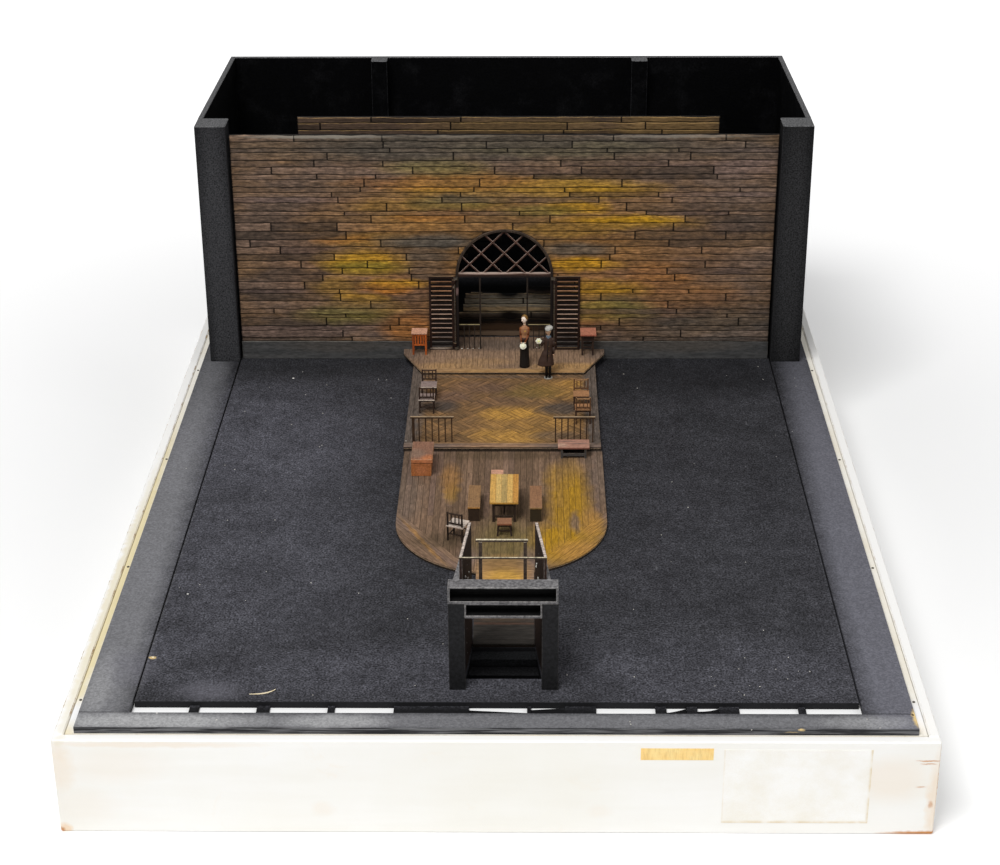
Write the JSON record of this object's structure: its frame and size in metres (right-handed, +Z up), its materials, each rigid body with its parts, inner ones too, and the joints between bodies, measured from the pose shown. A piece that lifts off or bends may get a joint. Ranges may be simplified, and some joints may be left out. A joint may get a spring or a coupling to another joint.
{
  "type": "theatre set model",
  "caption": "Stage set model on a shallow painted crate: plank wall with an arched louvred doorway, parquet platform, round thrust, entrance bridge and loose furniture.",
  "frame": {"origin": "middle of the crate's footprint, on the surface that it stands on", "axes": "+Z up; +Y from the audience side to the back wall; +X to the right as the audience sees it"},
  "size_m": [0.762, 1.1002, 0.3949],
  "materials": {
    "white_paint": "off-white brushed paint, stained and chipped",
    "cream_paint": "cream paint",
    "bare_wood": "bare softwood and plywood",
    "nail_steel": "dull nail heads",
    "black_board": "matte charcoal paint with fine speckle",
    "house_black": "matte black paint",
    "carrier_board": "dark stained board",
    "wall_planks": "hand-cut planks stained umber, ochre and blue-grey",
    "plinth_grey": "dark blue-grey paint",
    "dark_wood": "dark brown stain, pale edges",
    "platform_wood": "stained edges",
    "floor_planks": "thin boards stained umber and ochre",
    "parquet_wood": "thin strips stained ochre and purple-grey",
    "bridge_black": "grey-black paint with glue marks",
    "bridge_grey": "grey paint, worn edges",
    "well_black": "matte black paint",
    "orange_wood": "orange-brown paint",
    "pink_wood": "dusty pink paint on dark legs",
    "pale_wood": "pale yellow boards",
    "chair_wood": "dark brown with a pink-grey seat",
    "orange_chair": "dark brown with an orange seat",
    "bench_wood": "orange-brown tops, dark ends",
    "stool_wood": "terracotta tops, dark legs",
    "figure_paint": "hand-painted figure",
    "card_paper": "plain white card",
    "tan_tape": "tan paper tape"
  },
  "bodies": {
    "root": {"crate_ends": "white_paint", "crate_sides": "white_paint", "deck": "cream_paint", "crate_bottom": "bare_wood", "crate_ledgers": "bare_wood", "deck_nails": "nail_steel", "hinge_pins": "nail_steel", "board_front": "black_board", "board_sides": "black_board", "stage_floor": "black_board", "slot_blocks": "black_board", "house_side_left": "house_black", "house_side_right": "house_black", "house_back": "house_black", "house_posts": "house_black", "back_battens": "house_black", "wall_panel": "carrier_board", "wall_struts": "carrier_board", "rear_wall_panel": "carrier_board", "wall_planks": "wall_planks", "rear_wall_planks": "wall_planks", "wall_plinth": "plinth_grey", "arch_frame": "dark_wood", "fanlight": "dark_wood", "bay_rails": "dark_wood", "balustrades": "dark_wood", "landing_base": "platform_wood", "parquet_base": "platform_wood", "thrust_base": "platform_wood", "landing_planks": "floor_planks", "thrust_planks": "floor_planks", "parquet_strips": "parquet_wood", "bridge_posts": "bridge_black", "bridge_walls": "bridge_black", "bridge_headers": "bridge_grey", "bridge_deck_strips": "bridge_grey", "bridge_rails": "bridge_grey", "stair_well": "well_black", "label_card": "card_paper", "tape_strip": "tan_tape"},
    "shutter_left": {"shutter_left": "dark_wood", "shutter_left_slats": "dark_wood"},
    "shutter_right": {"shutter_right": "dark_wood", "shutter_right_slats": "dark_wood"},
    "side_table_left": {"side_table_left": "orange_wood"},
    "side_table_right": {"side_table_right": "pink_wood"},
    "chair_left_far": {"chair_left_far": "chair_wood"},
    "chair_left_near": {"chair_left_near": "chair_wood"},
    "chair_right_far": {"chair_right_far": "orange_chair"},
    "chair_right_near": {"chair_right_near": "orange_chair"},
    "chair_askew": {"chair_askew": "chair_wood"},
    "chest": {"chest": "orange_wood"},
    "low_bench": {"low_bench": "pink_wood"},
    "dining_table": {"dining_table": "pale_wood"},
    "table_bench_left": {"table_bench_left": "bench_wood"},
    "table_bench_right": {"table_bench_right": "bench_wood"},
    "stool_far": {"stool_far": "stool_wood"},
    "stool_front": {"stool_front": "stool_wood"},
    "woman_figure": {"woman_figure": "figure_paint"},
    "man_figure": {"man_figure": "figure_paint"}
  },
  "joints": [
    {"name": "shutter_left_hinge", "type": "hinge", "parent": "root", "child": "shutter_left", "pos_m": [-0.0589, 0.24315, 0.1624], "axis": [0, 0, 1], "range_deg": [0, 178]},
    {"name": "shutter_right_hinge", "type": "hinge", "parent": "root", "child": "shutter_right", "pos_m": [0.0589, 0.24315, 0.1624], "axis": [0, 0, -1], "range_deg": [0, 178]},
    {"name": "lift_side_table_left", "type": "slide", "parent": "root", "child": "side_table_left", "axis": [0, 0, 1], "range_m": [0, 0.3]},
    {"name": "lift_side_table_right", "type": "slide", "parent": "root", "child": "side_table_right", "axis": [0, 0, 1], "range_m": [0, 0.3]},
    {"name": "lift_chair_left_far", "type": "slide", "parent": "root", "child": "chair_left_far", "axis": [0, 0, 1], "range_m": [0, 0.3]},
    {"name": "lift_chair_left_near", "type": "slide", "parent": "root", "child": "chair_left_near", "axis": [0, 0, 1], "range_m": [0, 0.3]},
    {"name": "lift_chair_right_far", "type": "slide", "parent": "root", "child": "chair_right_far", "axis": [0, 0, 1], "range_m": [0, 0.3]},
    {"name": "lift_chair_right_near", "type": "slide", "parent": "root", "child": "chair_right_near", "axis": [0, 0, 1], "range_m": [0, 0.3]},
    {"name": "lift_chair_askew", "type": "slide", "parent": "root", "child": "chair_askew", "axis": [0, 0, 1], "range_m": [0, 0.3]},
    {"name": "lift_chest", "type": "slide", "parent": "root", "child": "chest", "axis": [0, 0, 1], "range_m": [0, 0.3]},
    {"name": "lift_low_bench", "type": "slide", "parent": "root", "child": "low_bench", "axis": [0, 0, 1], "range_m": [0, 0.3]},
    {"name": "lift_dining_table", "type": "slide", "parent": "root", "child": "dining_table", "axis": [0, 0, 1], "range_m": [0, 0.3]},
    {"name": "lift_table_bench_left", "type": "slide", "parent": "root", "child": "table_bench_left", "axis": [0, 0, 1], "range_m": [0, 0.3]},
    {"name": "lift_table_bench_right", "type": "slide", "parent": "root", "child": "table_bench_right", "axis": [0, 0, 1], "range_m": [0, 0.3]},
    {"name": "lift_stool_far", "type": "slide", "parent": "root", "child": "stool_far", "axis": [0, 0, 1], "range_m": [0, 0.3]},
    {"name": "lift_stool_front", "type": "slide", "parent": "root", "child": "stool_front", "axis": [0, 0, 1], "range_m": [0, 0.3]},
    {"name": "lift_woman_figure", "type": "slide", "parent": "root", "child": "woman_figure", "axis": [0, 0, 1], "range_m": [0, 0.3]},
    {"name": "lift_man_figure", "type": "slide", "parent": "root", "child": "man_figure", "axis": [0, 0, 1], "range_m": [0, 0.3]}
  ]
}
